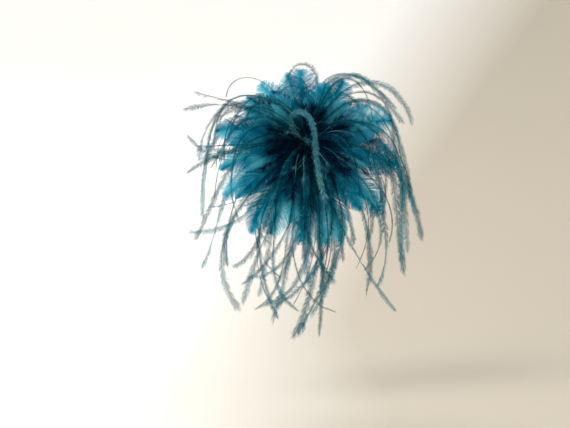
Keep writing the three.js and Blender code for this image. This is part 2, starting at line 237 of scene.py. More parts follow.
class Sheaf:
    """Gathers ribbons and tubes into one mesh, with each strand's tone and share of its length."""

    def __init__(self):
        self.points, self.quads, self.tone, self.along = [], [], [], []
        self.caps = []
        self.count = 0

    def add(self, points, quads, tone, along):
        self.points.append(points.reshape(-1, 3))
        self.quads.append(quads.reshape(-1, 4) + self.count)
        self.tone.append(np.broadcast_to(tone, points.shape[:-1]).ravel())
        self.along.append(np.broadcast_to(along, points.shape[:-1]).ravel())
        self.count += self.points[-1].shape[0]

    def ribbons(self, paths, facing, half, tone):
        """Flat strands. paths is (n, k, 3), facing (n, 3) or (n, k, 3), half (n, k)."""
        n, k = paths.shape[:2]
        tangent = unit(np.gradient(paths, axis=1))
        if facing.ndim == 2:
            facing = facing[:, None]
        width = unit(np.cross(tangent, facing)) * half[..., None]
        verts = np.stack([paths - width, paths + width], 2)
        first = (np.arange(n)[:, None] * k + np.arange(k - 1)[None]) * 2
        quads = np.stack([first, first + 1, first + 3, first + 2], -1)
        along = np.linspace(0, 1, k)[None, :, None]
        self.add(verts, quads, np.asarray(tone)[:, None, None], along)

    def tube(self, path, radius, sides, tone=0.5):
        """A round strand with flat ends along path (k, 3), with one radius or one for each point."""
        k = len(path)
        tangent = unit(np.gradient(path, axis=0))
        a = carried(np.cross(tangent[0], [0.31, 0.22, 0.92]), tangent)
        b = np.cross(tangent, a)
        angle = np.arange(sides) / sides * 2 * math.pi
        radius = np.broadcast_to(radius, k)[:, None, None]
        ring = a[:, None] * np.cos(angle)[None, :, None] + b[:, None] * np.sin(angle)[None, :, None]
        verts = path[:, None] + ring * radius
        i = np.arange(k - 1)[:, None] * sides
        j = np.arange(sides)[None]
        after = (j + 1) % sides
        quads = np.stack([i + j, i + after, i + sides + after, i + sides + j], -1)
        self.add(verts, quads, tone, np.linspace(0, 1, k)[:, None])
        start = self.count - k * sides
        self.caps.append(list(range(start + sides - 1, start - 1, -1)))
        self.caps.append(list(range(self.count - sides, self.count)))

    def build(self, name, material):
        """One smooth mesh of everything gathered, as an object in the scene."""
        points = np.concatenate(self.points).astype(np.float32)
        quads = np.concatenate(self.quads).astype(np.int32)
        loops = np.concatenate([quads.ravel()] + [np.array(cap, np.int32) for cap in self.caps])
        totals = np.concatenate([np.full(len(quads), 4), [len(cap) for cap in self.caps]])
        totals = totals.astype(np.int32)
        mesh = bpy.data.meshes.new(name)
        mesh.vertices.add(len(points))
        mesh.vertices.foreach_set("co", points.ravel())
        mesh.loops.add(len(loops))
        mesh.loops.foreach_set("vertex_index", loops.astype(np.int32))
        mesh.polygons.add(len(totals))
        starts = np.concatenate([[0], np.cumsum(totals)[:-1]]).astype(np.int32)
        mesh.polygons.foreach_set("loop_start", starts)
        mesh.polygons.foreach_set("use_smooth", np.full(len(totals), True))
        for key, values in (("tone", self.tone), ("along", self.along)):
            layer = mesh.attributes.new(key, "FLOAT", "POINT")
            layer.data.foreach_set("value", np.concatenate(values).astype(np.float32))
        mesh.update(calc_edges=True)
        mesh.validate()
        mesh.materials.append(material)
        return linked(name, mesh)


# ---------------------------------------------------------------- materials
def new_material(name):
    """An empty material with one shader: the material, its node tree, the shader, the output."""
    material = bpy.data.materials.new(name)
    material.use_nodes = True
    nodes = material.node_tree.nodes
    nodes.clear()
    shader = nodes.new("ShaderNodeBsdfPrincipled")
    output = nodes.new("ShaderNodeOutputMaterial")
    material.node_tree.links.new(shader.outputs[0], output.inputs["Surface"])
    return material, material.node_tree, shader, output


def rgb(r, g, b):
    """A display colour from 0 to 255 as linear light."""
    c = np.array([r, g, b]) / 255
    return tuple(np.where(c <= 0.04045, c / 12.92, ((c + 0.055) / 1.055) ** 2.4)) + (1.0,)


def ramp(tree, source, stops):
    """A colour for each value of source, from stops of (place, colour)."""
    node = tree.nodes.new("ShaderNodeValToRGB")
    elements = node.color_ramp.elements
    while len(elements) < len(stops):
        elements.new(0.5)
    for element, (place, colour) in zip(elements, stops):
        element.position = place
        element.color = colour
    tree.links.new(source, node.inputs[0])
    return node.outputs[0]


def attribute(tree, name):
    node = tree.nodes.new("ShaderNodeAttribute")
    node.attribute_name = name
    return node.outputs["Fac"]


def noise(tree, scale, detail=3.0, stretch=(1, 1, 1)):
    node = tree.nodes.new("ShaderNodeTexNoise")
    node.inputs["Scale"].default_value = scale
    node.inputs["Detail"].default_value = detail
    where = tree.nodes.new("ShaderNodeTexCoord")
    place = tree.nodes.new("ShaderNodeMapping")
    place.inputs["Scale"].default_value = stretch
    tree.links.new(where.outputs["Object"], place.inputs[0])
    tree.links.new(place.outputs[0], node.inputs["Vector"])
    return node.outputs["Fac"]


def feed(tree, socket, value):
    """Sets a socket to a plain value, or links it to another node's output."""
    if isinstance(value, (int, float, tuple)):
        socket.default_value = value
    else:
        tree.links.new(value, socket)


def math_node(tree, operation, a, b):
    node = tree.nodes.new("ShaderNodeMath")
    node.operation = operation
    feed(tree, node.inputs[0], a)
    feed(tree, node.inputs[1], b)
    return node.outputs[0]


def scaled(tree, source, factor, offset):
    """The value source * factor + offset."""
    return math_node(tree, "ADD", math_node(tree, "MULTIPLY", source, factor), offset)


def bump(tree, shader, height, strength, distance):
    node = tree.nodes.new("ShaderNodeBump")
    node.inputs["Strength"].default_value = strength
    node.inputs["Distance"].default_value = distance
    tree.links.new(height, node.inputs["Height"])
    tree.links.new(node.outputs[0], shader.inputs["Normal"])


def multiplied(tree, a, b):
    """The product of two colours."""
    node = tree.nodes.new("ShaderNodeMix")
    node.data_type = "RGBA"
    node.blend_type = "MULTIPLY"
    node.inputs[0].default_value = 1.0
    feed(tree, node.inputs[6], a)
    feed(tree, node.inputs[7], b)
    return node.outputs[2]


def feather_material(name, dark, mid, light, glow, roughness, through, patch):
    """Dyed feather. Each strand has a tone, dye is patchy, and a share of the light, tinted by the
    glow, comes through. Each strand is also painted darker at its root and lighter at its tip, as
    painted shade and painted light."""
    material, tree, shader, output = new_material(name)
    tone = math_node(tree, "MULTIPLY", attribute(tree, "tone"), 0.55)
    uneven = math_node(tree, "MULTIPLY", noise(tree, patch), 0.45)
    level = math_node(tree, "ADD", tone, uneven)
    colour = ramp(tree, level, [(0.2, dark), (0.5, mid), (0.82, light)])
    # Painted shade and light: each strand's colour runs from darker at its root, where it lies
    # shaded, to lighter at its tip.
    root_shade_stops = [(0.0, (0.8, 0.8, 0.8, 1)), (0.9, (1.1, 1.1, 1.1, 1))]
    tips = ramp(tree, attribute(tree, "along"), root_shade_stops)
    colour = multiplied(tree, colour, tips)
    tree.links.new(colour, shader.inputs["Base Color"])
    rough = scaled(tree, noise(tree, 300.0), 0.3, roughness - 0.15)
    tree.links.new(rough, shader.inputs["Roughness"])
    shader.inputs["Specular IOR Level"].default_value = 0.04
    shader.inputs["Sheen Weight"].default_value = 0.01
    shader.inputs["Sheen Roughness"].default_value = 0.5
    translucent = tree.nodes.new("ShaderNodeBsdfTranslucent")
    tree.links.new(multiplied(tree, colour, glow), translucent.inputs["Color"])
    mix = tree.nodes.new("ShaderNodeMixShader")
    mix.inputs[0].default_value = through
    tree.links.new(shader.outputs[0], mix.inputs[1])
    tree.links.new(translucent.outputs[0], mix.inputs[2])
    tree.links.new(mix.outputs[0], output.inputs["Surface"])
    return material


def metal_material(name, colour, roughness):
    """Nickel plate: fine scratches, a little tarnish."""
    material, tree, shader, _ = new_material(name)
    tarnish = noise(tree, 350.0, 5.0)
    dull = tuple(0.62 * c for c in colour[:3]) + (1.0,)
    tree.links.new(ramp(tree, tarnish, [(0.35, dull), (0.6, colour)]), shader.inputs["Base Color"])
    scratch = noise(tree, 900.0, 6.0, (0.15, 1, 1))
    rough = scaled(tree, scratch, 0.25, roughness - 0.1)
    tree.links.new(rough, shader.inputs["Roughness"])
    shader.inputs["Metallic"].default_value = 1.0
    bump(tree, shader, scratch, 0.08, 0.1 * MM)
    return material


def weave(tree, scale):
    """Threads that cross, along X and Z."""
    where = tree.nodes.new("ShaderNodeTexCoord")
    threads = []
    for direction in ("X", "Z"):
        node = tree.nodes.new("ShaderNodeTexWave")
        node.bands_direction = direction
        node.inputs["Scale"].default_value = scale
        tree.links.new(where.outputs["Object"], node.inputs["Vector"])
        threads.append(node.outputs["Fac"])
    return math_node(tree, "MULTIPLY", *threads)


def cloth_material(name, dark, light, scale, roughness, woven=False):
    """Woven buckram, or fibres without a weave, as in felt and thread."""
    material, tree, shader, _ = new_material(name)
    fibre = weave(tree, scale) if woven else noise(tree, scale, 6.0)
    tree.links.new(ramp(tree, fibre, [(0.25, dark), (0.75, light)]), shader.inputs["Base Color"])
    rough = scaled(tree, fibre, 0.1, roughness - 0.05)
    tree.links.new(rough, shader.inputs["Roughness"])
    shader.inputs["Sheen Weight"].default_value = 0.15
    bump(tree, shader, fibre, 0.6, 0.4 * MM)
    return material


PETAL = feather_material(
    "goose_petal", rgb(0, 44, 76), rgb(0, 130, 162), rgb(86, 190, 212), (0.75, 1, 1, 1),
    roughness=0.7, through=0.42, patch=45,
)
FROND = feather_material(
    "ostrich_frond", rgb(0, 18, 36), rgb(0, 96, 116), rgb(64, 160, 172), (0.75, 1, 1, 1),
    roughness=0.8, through=0.25, patch=30,
)
PALE_FROND = feather_material(
    "pale_ostrich_frond", rgb(24, 90, 106), rgb(66, 130, 142), rgb(124, 180, 186), (0.85, 1, 1, 1),
    roughness=0.8, through=0.2, patch=30,
)
HAIR = feather_material(
    "pale_hair", rgb(10, 84, 104), rgb(44, 126, 146), rgb(120, 186, 198), (0.8, 1, 1, 1),
    roughness=0.6, through=0.2, patch=120,
)
DOWN = feather_material(
    "marabou_down", rgb(0, 8, 28), rgb(0, 30, 58), rgb(0, 84, 116), (0.6, 0.95, 1, 1),
    roughness=0.85, through=0.15, patch=60,
)
QUILL = feather_material(
    "dyed_quill", rgb(8, 60, 78), rgb(30, 96, 112), rgb(90, 150, 160), (0.7, 0.9, 0.9, 1),
    roughness=0.45, through=0.1, patch=200,
)
THREAD = cloth_material("waxed_thread", rgb(4, 38, 50), rgb(16, 76, 92), 1800, 0.6)
FELT = cloth_material("wool_felt", rgb(4, 40, 54), rgb(12, 66, 84), 900, 0.95)
BUCKRAM = cloth_material("buckram", rgb(150, 143, 128), rgb(214, 208, 194), 260, 0.85, woven=True)
NICKEL = metal_material("nickel_plate", (0.66, 0.64, 0.61, 1), 0.28)


def on_flower(piece, slot, *nodes):
    """Puts a finished piece on the flower's body and hides the nodes it replaces. The slot is not
    used.
    """
    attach(piece, "flower")
    if nodes:
        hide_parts(*nodes)
    return piece


# ---------------------------------------------------------------- strands
def tufted(rng, s, size):
    """Tufts of about a size in which the strands at s cling together: each strand's tuft, and how
    far the tuft's middle is from it along s."""
    edges = np.cumsum(rng.uniform(0.6, 1.4, int(1.6 * s[-1] / size) + 4)) * size
    group = np.searchsorted(edges, s)
    middle = np.bincount(group, s) / np.maximum(np.bincount(group), 1)
    return group, middle[group] - s


def wisps(sheaf, rng, root, direction, size, half, sections=8, wave=0.09, sag=0.12, tone=0.5):
    """Fine wavy strands, each from its root along its direction, size long and tapered. half is
    their half width at the root in millimetres."""
    n = len(root)
    u = np.linspace(0, 1, sections)
    side = unit(np.cross(direction, unit(rng.normal(0, 1, (n, 3)))))
    other = np.cross(direction, side)
    beat = rng.uniform(0.8, 2.2, n)[:, None] * 2 * math.pi
    start = rng.uniform(0, 2 * math.pi, n)[:, None]
    sway = wave * u * (np.sin(beat * u + start) - np.sin(start))
    drift = wave * u * (np.cos(0.7 * beat * u + 2 * start) - np.cos(2 * start))
    paths = direction[:, None] * u[None, :, None] + side[:, None] * sway[..., None]
    paths = paths + other[:, None] * drift[..., None]
    bend = DOWNWARD * sag + rng.normal(0, 0.12, (n, 3))
    paths = root[:, None] + (paths + bend[:, None] * (u**2)[None, :, None]) * size[:, None, None]
    widths = half * MM * (1 - 0.75 * u) * np.ones((n, 1))
    sheaf.ribbons(paths, side, widths, np.clip(tone + rng.normal(0, 0.1, n), 0, 1))


# ---------------------------------------------------------------- ostrich fronds
def facing_viewer(rail):
    """The turn along a rail that spreads its barbs square to the viewer."""
    wanted = unit(np.cross(rail.t, VIEWER))
    across, through = (wanted * rail.a).sum(1), (wanted * rail.b).sum(1)
    return np.unwrap(np.arctan2(through, across))


def frond(sheaf, rail, rng, reach, weight=1.0, tone=0.5, open_from=0.38, turns=None, rib=0.2):
    """One ostrich frond: a thin rib with fine barbs down both sides. The plane of the barbs turns
    slowly along the rib, so the frond shows here as a dark line and there as a soft wide band.
    Its barbs are short near the root and painted darker there, as painted shade of the heart, and a
    little lighter towards the tip, as painted light. They are full from the share open_from of the
    rib on, and fan out round the tip. turns is the angle of that plane along the rail, and the rib's
    tone is a share rib of the barbs' tone."""
    length = rail.length
    bare = 0.03
    spacing = 0.17 * MM
    tuft_size = 1.8 * MM
    fan_length = 4.5 * MM
    steps = max(24, int(length / (4 * MM)))
    path = rail.at(np.linspace(0, length, steps))[0]
    sheaf.tube(path, np.linspace(0.42, 0.17, steps) * MM * weight, 5, tone=tone * rib)
    if turns is None:
        turns = rng.normal(0, 0.4) + waves(rng, rail.s, 0.15, 2)
    folds = 0.25 + 0.2 * waves(rng, rail.s, 0.06)
    fullness = 0.88 + 0.12 * waves(rng, rail.s, 0.03)
    count = int(length * (1 - bare) / spacing)
    for side in (-1, 1):
        s = np.linspace(bare, 1.0, count) * length + rng.uniform(-0.1, 0.1, count) * MM
        share = s / length
        p, t, a, b = rail.at(s)
        tuft, cling = tufted(rng, s, tuft_size)
        tufts = tuft.max() + 1
        angle = np.interp(s, rail.s, turns) + side * np.interp(s, rail.s, folds)
        angle = angle + rng.normal(0, 0.13, tufts)[tuft]
        out = side * around(a, b, angle)
        fan = np.clip((s - length + fan_length) / fan_length, 0, 1) ** 1.5
        lean = (68 + rng.normal(0, 6, tufts)[tuft]) * (1 - fan) + rng.normal(0, 8, count)
        lean = np.radians(lean)
        opened = np.clip((share - bare) / (open_from - bare), 0, 1)
        size = reach * MM * (0.22 + 0.78 * opened**1.3) * np.interp(s, rail.s, fullness)
        size = size * rng.uniform(0.78, 1.12, tufts)[tuft] * rng.uniform(0.8, 1.06, count)
        u = np.array([0, 0.3, 0.65, 1.0])
        direction = t * np.cos(lean)[:, None] + out * np.sin(lean)[:, None]
        curl = t * (0.42 + rng.normal(0, 0.2, tufts)[tuft])[:, None] + DOWNWARD * 0.12
        curl = curl + rng.normal(0, 0.13, (count, 3))
        paths = direction[:, None] * u[None, :, None] + curl[:, None] * (u**2)[None, :, None]
        paths = p[:, None] + paths * size[:, None, None]
        paths = paths + t[:, None] * (0.75 * cling[:, None] * u**1.3)[..., None]
        half = np.array([0.056, 0.056, 0.054, 0.034]) * MM * weight * np.ones((count, 1))
        # Painted shade: barbs are darker near the frond's root, down in the heart, and a little
        # lighter towards its tip.
        tones_with_painted_shade = tone + rng.normal(0, 0.16, tufts)[tuft] + rng.normal(0, 0.05, count) + 0.1 * share
        tones_with_painted_shade = tones_with_painted_shade * np.minimum(0.1 + opened**1.6, 1)
        sheaf.ribbons(paths, np.cross(t, out), half, np.clip(tones_with_painted_shade, 0, 1))


def curled(line, rng, amount):
    """The line with the slow waves of a real frond, and a hook at its tip. Its root stays put."""
    rail = Rail(line, 60)
    share = rail.s / rail.length
    sway = 4.0 * MM * amount * share * waves(rng, rail.s, 0.15, 1)
    drift = 2.5 * MM * amount * share * waves(rng, rail.s, 0.12, 1)
    hook = rng.uniform(-0.11, 0.11) * rail.length * amount
    bend = sway + hook * np.clip((share - 0.6) / 0.4, 0, 1) ** 2
    return held_back(rail.p + rail.a * bend[:, None] + rail.b * drift[:, None])


def held_back(line):
    """Eases a line back where it would stand further forward than the modelled feathers do."""
    front = cad_box[0][1] + 24 * MM
    give = 26 * MM
    past = np.maximum(front - line[:, 1], 0)
    eased = line.copy()
    eased[:, 1] = np.where(past > 0, front - give * np.tanh(past / give), line[:, 1])
    return eased


def fronds():
    """The modelled fronds. A frond with a curl makes the pale arch, which is open from near its
    root and faces the viewer all the way."""
    for whorl in FROND_WHORLS:
        inner = whorl["name"] == "frond_inner"
        for i, (azimuth, length, droop, turn, lift, *curl) in enumerate(whorl["rows"], 1):
            name = f"{whorl['name']}_{i}"
            rng = seeded(name)
            line = midline(dict(whorl, lift=lift), FROND_STEPS, azimuth, length, droop, turn, *curl)
            sheaf = Sheaf()
            if curl:
                rail = Rail(line)
                frond(
                    sheaf, rail, rng, reach=4.4, weight=1.15, tone=0.42, open_from=0.06,
                    turns=facing_viewer(rail), rib=0.8,
                )
            elif inner:
                frond(sheaf, Rail(curled(line, rng, 0.3)), rng, reach=3.6, tone=0.22)
            else:
                rail = Rail(curled(line, rng, 0.6))
                reach = rng.uniform(4.2, 5.8)
                weight = rng.uniform(0.8, 1.1)
                frond(sheaf, rail, rng, reach, weight, tone=rng.uniform(0.4, 0.62))
            dye = PALE_FROND if curl else FROND
            on_flower(sheaf.build(f"ostrich_{name}", dye), "ostrich", name)


def fine_frond(sheaf, rng, line, shade=1.0):
    """A lighter frond than the modelled ones. Three in ten are slim dark strands. Its tone is scaled
    by shade, which darkens the fronds deep in the heart as painted shade.
    """
    slim = rng.uniform() < 0.3
    reach = rng.uniform(0.8, 1.8) if slim else rng.uniform(3.0, 5.2)
    tone = 0.28 if slim else rng.uniform(0.3, 0.65)
    weight = rng.uniform(0.7, 1.0)
    frond(sheaf, Rail(curled(line, rng, 0.6)), rng, reach, weight, tone * shade)


def fine_fronds():
    """Looser, shorter copies of each modelled frond but the arch, to fill the spray between them."""
    for whorl in FROND_WHORLS:
        inner = whorl["name"] == "frond_inner"
        copies = 1 if inner else 2
        for k in range(1, copies + 1):
            name = f"fine_{whorl['name']}s_{k}"
            rng = seeded(name)
            sheaf = Sheaf()
            for azimuth, length, droop, turn, lift, *curl in whorl["rows"]:
                if curl:
                    continue
                seat = dict(whorl, lift=max(0, lift + rng.uniform(-3, 7)))
                line = midline(
                    seat,
                    FROND_STEPS,
                    azimuth + rng.uniform(-11, 11),
                    length * rng.uniform(0.6, 0.95),
                    droop + rng.uniform(-0.2, 0.4),
                    turn + rng.uniform(-0.35, 0.35),
                    hook=rng.uniform(-2.6, 2.6),
                )
                # The inner whorl's copies are darker: painted shade of the heart.
                fine_frond(sheaf, rng, line, shade=0.4 if inner else 1.0)
            on_flower(sheaf.build(name, FROND), "ostrich")


# Pairs are the first and last value, between which each frond's own is drawn.
SPRAYS = [
    dict(name="hanging_fronds", count=13, azimuth=(218, 298), length=(150, 218),
         droop=(0.2, 1.0), turn=(-0.7, 0.7), hook=4.5),
    dict(name="arching_fronds_left", count=10, azimuth=(112, 160), length=(125, 168),
         droop=(2.0, 3.4), turn=(-0.2, 0.7), hook=2),
    dict(name="arching_fronds_right", count=5, azimuth=(26, 64), length=(150, 188),
         droop=(2.2, 3.6), turn=(-1.1, -0.1), hook=2),
]


def sprays():
    """Loose fronds that hang below the petals with curled tips, or arch out over them."""
    for spray in SPRAYS:
        rng = seeded(spray["name"])
        sheaf = Sheaf()
        first, last = spray["azimuth"]
        for k in range(spray["count"]):
            seat = dict(FROND_WHORLS[k % 2], lift=rng.uniform(0, 5) + 18 * (k % 2))
            line = midline(
                seat,
                FROND_STEPS,
                first + (last - first) * (k + rng.uniform(0, 1)) / spray["count"],
                rng.uniform(*spray["length"]),
                rng.uniform(*spray["droop"]),
                rng.uniform(*spray["turn"]),
                hook=rng.uniform(-1, 1) * spray["hook"],
            )
            fine_frond(sheaf, rng, line)
        on_flower(sheaf.build(spray["name"], FROND), "ostrich")


# ---------------------------------------------------------------- goose petals
def parted(rng, u, v, tones_with_painted_shade):
    """A vane splits at a few places: the barbs on either side of a split draw apart and lift, and
    their tone changes. v is the barbs' places along the vane, and u places along a barb."""
    part = np.zeros((len(v), len(u)))
    lift = np.zeros((len(v), len(u)))
    for _ in range(rng.integers(5, 10)):
        at, depth = rng.uniform(0.12, 0.95), rng.uniform(0.1, 0.75)
        away = v - at
        opened = np.clip((u - depth) / (1 - depth), 0, 1)[None] ** 1.4
        gap = rng.uniform(0.4, 2.0) * np.exp(-np.abs(away) / 0.06)
        part = part + (np.sign(away) * gap)[:, None] * opened
        lift = lift + rng.uniform(-2.2, 2.2) * (away > 0)[:, None] * opened
        tones_with_painted_shade = tones_with_painted_shade + rng.normal(0, 0.12) * (away > 0)
    return part, lift, tones_with_painted_shade


def petal(sheaf, rail, width, rng, barbs=250, density=1.0, sharpness=None):
    """A goose feather: a quill, a broad soft vane of barbs that parts in a few places, and down.
    The width is that of each side of the vane, and a low sharpness makes its ends rounder."""
    length = rail.length
    blade = 1.03 * length
    foot = 0.08
    share = np.linspace(0, 1, 40)
    sheaf.tube(rail.at(share * length)[0], (0.5 - 0.4 * share) * MM, 6, tone=0.5)
    cup = rng.uniform(1.5, 6.5)
    shade = rng.uniform(0.2, 0.5)
    taper = rng.uniform(1.0, 1.4)
    sharpness = sharpness or rng.uniform(0.55, 0.95)
    phase = rng.uniform(0, 2 * math.pi, 3)

    def surface(s, x):
        """Points on the vane at lengths s and signed distances x from the quill, and the
        direction through the vane there."""
        p, _, a, b = rail.at(s)
        v = x / (width * MM)
        rise = cup * 0.5 * v**2 + 1.6 * np.sin(s * 60 + phase[0] + 2.0 * v) * np.abs(v)
        rise = rise + 1.0 * np.sin(s * 150 + phase[1] + 3 * v) * np.abs(v) ** 1.5
        return p + a * x[..., None] - b * (rise * MM)[..., None], b

    u = np.linspace(0, 1, 9)
    v = np.linspace(0, 1, barbs)
    for side in (-1, 1):
        # Each barb runs from root on the quill to a tip level with end, at reach from the quill.
        root = length * (foot + (0.985 - foot) * v**1.5)
        end = blade * (0.2 + 0.8 * v)
        place = np.clip(end / blade, 0, 1)
        reach = width * MM * np.sin(math.pi * place**taper) ** sharpness
        ragged = 1 + 0.08 * waves(rng, v, 0.12) - np.abs(rng.normal(0, 0.07, barbs))
        reach = np.maximum(reach * ragged, 0.4 * MM)
        end = end + rng.normal(0, 0.25, barbs) * MM
        # Painted shade: barbs are darker towards the vane's root and lighter towards its tip, by an
        # amount each petal draws as shade; the waves and the normal draw are random tone.
        tones_with_painted_shade = shade * (0.2 + 1.3 * v) + 0.2 * v + 0.15 * waves(rng, v, 0.3)
        tones_with_painted_shade = tones_with_painted_shade + rng.normal(0, 0.08, barbs)
        part, lift, tones_with_painted_shade = parted(rng, u, v, tones_with_painted_shade)
        along = root[:, None] + (end - root)[:, None] * u**1.25 + part * MM
        along = np.minimum(along, blade)
        across = side * reach[:, None] * (1 - (1 - u) ** 1.2)
        points, normal = surface(along, across)
        lift = lift + rng.normal(0, 0.12, barbs)[:, None] * u
        points = points - normal * (lift * MM)[..., None]
        step = np.gradient(points, axis=0)
        run = unit(np.gradient(points, axis=1))
        gap = np.linalg.norm(step - run * (step * run).sum(-1, keepdims=True), axis=-1)
        half = np.clip(gap * 0.5, 0.03 * MM, 0.3 * MM) * (1.35 - 0.85 * u**2) * density
        sheaf.ribbons(points, normal, half, np.clip(tones_with_painted_shade, 0, 1))
    down = 260
    s = rng.uniform(0.04, 0.42, down) * length
    p, t, a, b = rail.at(s)
    out = around(a, b * 0.5, rng.uniform(0, 2 * math.pi, down))
    direction = unit(out + t * rng.uniform(0.4, 1.4, down)[:, None])
    wisps(sheaf, rng, p, direction, rng.uniform(8, 20, down) * MM, half=0.07, tone=0.05)


def petals():
    """The modelled petals."""
    for whorl in PETAL_WHORLS:
        for i, (azimuth, length, droop) in enumerate(whorl["rows"]):
            name = f"{whorl['name']}_{i + 1}"
            odd = i % 2
            seat = dict(whorl, y=whorl["y"] - PETAL_STAGGER * odd)
            seat["lift"] = whorl["lift"] + whorl["lift_step"] * odd
            sheaf = Sheaf()
            line = midline(seat, PETAL_STEPS, azimuth, length, droop)
            petal(sheaf, Rail(line), whorl["width"], seeded(name), density=SHEER.get(name, 1.0))
            on_flower(sheaf.build(f"goose_{name}", PETAL), "goose_feather", name)


def fill_petals():
    """Shorter petals in the gaps of each whorl."""
    for whorl in PETAL_WHORLS:
        name = f"small_{whorl['name']}s"
        rng = seeded(name)
        sheaf = Sheaf()
        rows = sorted(whorl["rows"])
        for (azimuth, length, droop), (other, length_2, _) in zip(rows, rows[1:] + rows[:1]):
            middle = azimuth + ((other - azimuth) % 360) / 2 + rng.uniform(-5, 5)
            lift = whorl["lift"] + rng.uniform(4, 12)
            seat = dict(whorl, y=whorl["y"] - PETAL_STAGGER / 2, lift=lift)
            line = midline(seat, PETAL_STEPS, middle, 0.84 * (length + length_2) / 2, droop)
            petal(sheaf, Rail(line), whorl["width"] * 0.85, rng, barbs=210)
        on_flower(sheaf.build(name, PETAL), "goose_feather")


def broad_petals():
    """Wide thin petals behind the others, mostly above and to the viewer's right."""
    rows = [
        (96, 76, 0, 25), (352, 98, 0.4, 24), (22, 92, 0.4, 24), (322, 108, 0.4, 22),
        (60, 74, 0.2, 22), (266, 108, 0.3, 20), (208, 106, 0.3, 20), (128, 78, 0.1, 20),
        (281, 112, 0.3, 21), (246, 106, 0.3, 21),
    ]
    behind = PETAL_WHORLS[0]["y"] + 0.8
    rng = seeded("broad_petals")
    sheaf = Sheaf()
    for azimuth, length, droop, width in rows:
        seat = dict(PETAL_WHORLS[0], y=behind, lift=rng.uniform(5, 11))
        line = midline(seat, PETAL_STEPS, azimuth, length, droop)
        petal(sheaf, Rail(line), width, rng, density=0.8, sharpness=0.45)
    on_flower(sheaf.build("broad_petals", PETAL), "goose_feather")


# ---------------------------------------------------------------- marabou heart
def marabou(sheaf, rail, rng, tufts, reach):
    """A marabou tuft: a soft rib with long silky down all round it, which clings in small locks."""
    steps = 24
    path = rail.at(np.linspace(0, rail.length, steps))[0]
    sheaf.tube(path, np.linspace(0.45, 0.12, steps) * MM, 5, tone=0.3)
    where = rng.uniform(0.06, 1.0, tufts) ** 0.8 * rail.length
    angle = rng.uniform(0, 2 * math.pi, tufts)
    forward = rng.uniform(0.5, 1.8, tufts)
    grown = np.minimum(1, 0.5 + 2.5 * where / rail.length)
    size = reach * MM * rng.uniform(0.45, 1.0, tufts) * grown
    shade = rng.normal(0.3, 0.22, tufts)
    lock = np.repeat(np.arange(tufts), rng.integers(4, 12, tufts))
    n = len(lock)
    p, t, a, b = rail.at(where[lock] + rng.normal(0, 0.4 * MM, n))
    out = around(a, b, angle[lock] + rng.normal(0, 0.13, n))
    direction = unit(out + t * (forward[lock] + rng.normal(0, 0.12, n))[:, None])
    sizes = size[lock] * rng.uniform(0.8, 1.05, n) * (1 - 0.45 * np.maximum(direction.dot(VIEWER), 0))
    wisps(sheaf, rng, p, direction, sizes, half=0.08, wave=0.06, tone=shade[lock])


def marabou_plumes():
    """The modelled plumes. Each is four tufts that spread by a twist, a tilt and their length."""
    spread = ((0, -4, 1.0), (-17, -14, 0.9), (16, -10, 0.95), (4, -24, 0.8))
    for i, (azimuth, length, droop) in enumerate(PLUME_ROWS, 1):
        rng = seeded(f"plume_{i}")
        sheaf = Sheaf()
        for twist, tilt, share in spread:
            seat = dict(PLUMES, lift=PLUMES["lift"] + tilt)
            line = midline(seat, PLUME_STEPS, azimuth + twist, length * share, droop)
            marabou(sheaf, Rail(line), rng, tufts=130, reach=17)
        on_flower(sheaf.build(f"marabou_plume_{i}", DOWN), "marabou", f"plume_{i}")


def heart_hairs(count=30):
    """Single pale hairs which stand out against the dark heart, some with a small splayed tip."""
    rng = seeded("heart_hairs")
    sheaf = Sheaf()
    for k in range(count):
        seat = dict(r=rng.uniform(1, 5), y=FRONT_ROOT, lift=rng.uniform(18, 70), settle=0.4)
        line = midline(
            seat,
            HAIR_STEPS,
            azimuth=rng.uniform(0, 360),
            length=rng.uniform(34, 78),
            droop=rng.uniform(0, 1.6),
            turn=rng.normal(0, 1.2),
        )
        rail = Rail(held_back(line), 40)
        inside_down = 18
        path = rail.p[inside_down:]
        sheaf.tube(path, np.linspace(0.3, 0.1, len(path)) * MM, 4, tone=rng.uniform(0.2, 0.9))
        barbs = 26 if k % 3 == 0 else 5
        s = rng.uniform(0.84, 1.0, barbs) * rail.length
        p, t, a, b = rail.at(s)
        out = around(a, b, rng.uniform(0, 2 * math.pi, barbs))
        direction = unit(out + rng.uniform(0.7, 2.2, barbs)[:, None] * t)
        size = rng.uniform(3, 7, barbs) * MM
        wisps(sheaf, rng, p, direction, size, half=0.11, sections=5, wave=0.05, tone=0.8)
    on_flower(sheaf.build("heart_hairs", HAIR), "ostrich")


# ---------------------------------------------------------------- stem and thread
def quill_bundle():
    """The cut quills of all the feathers, packed side by side in the stem."""
    rng = seeded("quill_stem")
    sheaf = Sheaf()
    pitch = 1.75
    row_share = 0.866  # of the pitch, between one row of quills and the next
    for i in range(-5, 6):
        for j in range(-5, 6):
            x = (i + 0.5 * (j % 2)) * pitch
            z = j * pitch * row_share
            if math.hypot(x, z) > STEM_RADIUS - 0.9:
                continue
            start = STEM_REAR - 0.1 - rng.uniform(0, 0.8)
            y = np.linspace(start, STEM_FRONT + rng.uniform(0, 1.2), 12)
            squeeze = np.where(y < STEM_FRONT + 8, 0.93, 1.0)
            path = np.stack([x * squeeze, y, z * squeeze], 1) * MM
            sheaf.tube(path, rng.uniform(0.78, 0.9) * MM, 8, tone=rng.uniform(0.3, 0.8))
    return sheaf.build("quill_bundle", QUILL)


